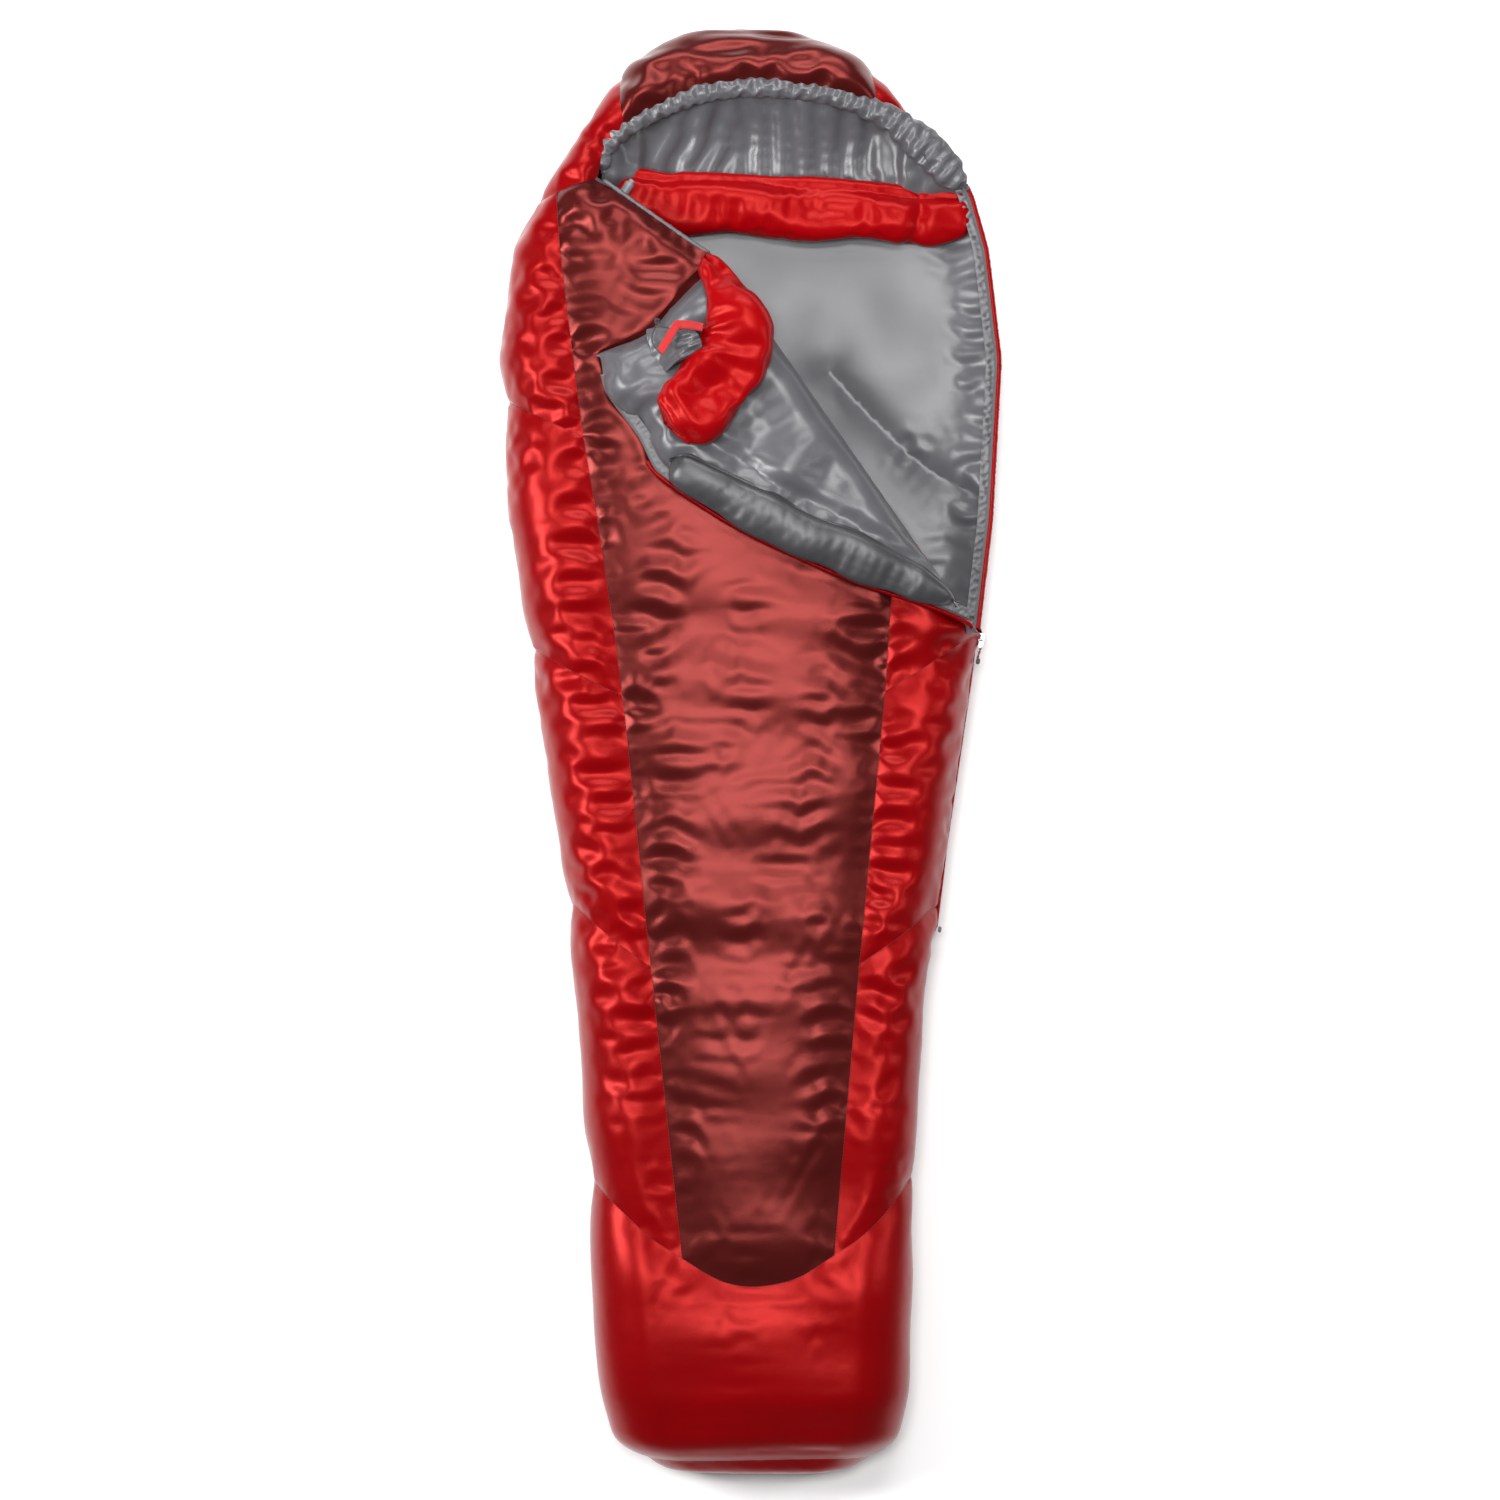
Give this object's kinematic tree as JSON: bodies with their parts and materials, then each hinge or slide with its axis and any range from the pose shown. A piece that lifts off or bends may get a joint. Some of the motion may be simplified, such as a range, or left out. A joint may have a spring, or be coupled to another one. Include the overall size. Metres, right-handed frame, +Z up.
{
  "type": "mummy sleeping bag",
  "caption": "Padded mummy sleeping bag lying flat, zip part open, one corner of the top layer folded back over the body.",
  "frame": {"origin": "on the ground, below the middle of the bag's outline", "axes": "+Y towards the head, +X towards the zip side, +Z up out of the top layer"},
  "size_m": [0.739, 2.15, 0.2516],
  "materials": {
    "red_shell": "satin red nylon",
    "maroon_shell": "satin dark red nylon",
    "grey_lining": "smooth grey taffeta",
    "insulation": "white loose fill",
    "red_collar": "glossy red nylon",
    "rim_cloth": "gathered grey taffeta",
    "zip_tape": "woven grey tape",
    "zip_coil": "dark grey nylon coil",
    "slider_metal": "grey painted die-cast metal",
    "puller_cord": "braided dark red cord",
    "grip_rubber": "dark grey moulded end",
    "grey_cord": "braided grey cord",
    "lock_plastic": "grey moulded nylon",
    "spring_steel": "bright spring steel",
    "red_webbing": "woven red webbing"
  },
  "bodies": {
    "bag": {"base_draught_collar": "red_collar", "base_insulation": "insulation", "base_lining": "grey_lining", "cord_lock_body": "lock_plastic", "cord_lock_spring": "spring_steel", "fold_insulation": "insulation", "fold_lining": "grey_lining", "fold_shell": "maroon_shell", "foot_box_panel": "red_shell", "foot_end_panel": "red_shell", "foot_insulation_base": "insulation", "foot_insulation_top": "insulation", "foot_lining": "grey_lining", "hood_back_lining": "grey_lining", "hood_back_panel": "red_shell", "hood_drawcord": "grey_cord", "hood_insulation": "insulation", "hood_left_panel": "red_shell", "hood_lining": "grey_lining", "hood_right_panel": "red_shell", "hood_rim_tube": "rim_cloth", "hood_top_panel": "maroon_shell", "left_side_panel_1": "red_shell", "left_side_panel_2": "red_shell", "left_side_panel_3": "red_shell", "left_side_panel_4": "red_shell", "neck_binding": "rim_cloth", "right_base_panel": "red_shell", "right_side_panel_1": "red_shell", "right_side_panel_2": "red_shell", "right_side_panel_3": "red_shell", "top_centre_panel": "maroon_shell", "top_insulation": "insulation", "top_lining": "grey_lining", "underside_panel": "red_shell", "zip_bottom_stop": "zip_coil", "zip_coil_base": "zip_coil", "zip_coil_closed": "zip_coil", "zip_tape_base": "zip_tape", "zip_tape_closed": "zip_tape"},
    "flap": {"flap_centre_panel": "maroon_shell", "flap_side_panel": "red_shell", "flap_insulation": "insulation", "flap_lining": "grey_lining", "flap_draught_collar": "red_collar", "flap_draught_tube": "grey_lining", "zip_tape_flap": "zip_tape", "zip_coil_flap": "zip_coil", "collar_tab": "grey_lining"},
    "slider": {"slider_body": "slider_metal", "slider_lugs": "slider_metal", "slider_pin": "slider_metal"},
    "puller": {"puller_link": "slider_metal", "puller_cord": "puller_cord", "puller_grip": "grip_rubber"},
    "lock_plunger": {"cord_lock_plunger": "lock_plastic"},
    "collar_pull": {"pull_webbing": "red_webbing", "pull_cord": "grey_cord", "pull_knot": "grey_cord"}
  },
  "joints": [
    {"name": "flap_fold", "type": "hinge", "parent": "bag", "child": "flap", "pos_m": [-0.05, 0.723, 0.151], "axis": [-0.5714, 0.8207, 0], "range_deg": [0, 178], "deforming": ["fold_shell", "fold_insulation", "fold_lining"]},
    {"name": "slider_travel", "type": "slide", "parent": "bag", "child": "slider", "axis": [-0.1351, -0.9908, 0], "range_m": [0, 0.41]},
    {"name": "puller_swing", "type": "hinge", "parent": "slider", "child": "puller", "pos_m": [0.3417, 0.163, 0.083], "axis": [-0.9908, 0.1351, 0], "range_deg": [0, 165]},
    {"name": "lock_press", "type": "slide", "parent": "bag", "child": "lock_plunger", "axis": [-0.5708, -0.8211, 0], "range_m": [0, 0.004], "stiffness_N_per_m": 400, "springref_m": -0.004, "deforming": ["cord_lock_spring"]},
    {"name": "pull_swing", "type": "hinge", "parent": "flap", "child": "collar_pull", "pos_m": [-0.086, 0.622, 0.2457], "axis": [0, 0, 1], "range_deg": [0, 45]}
  ]
}
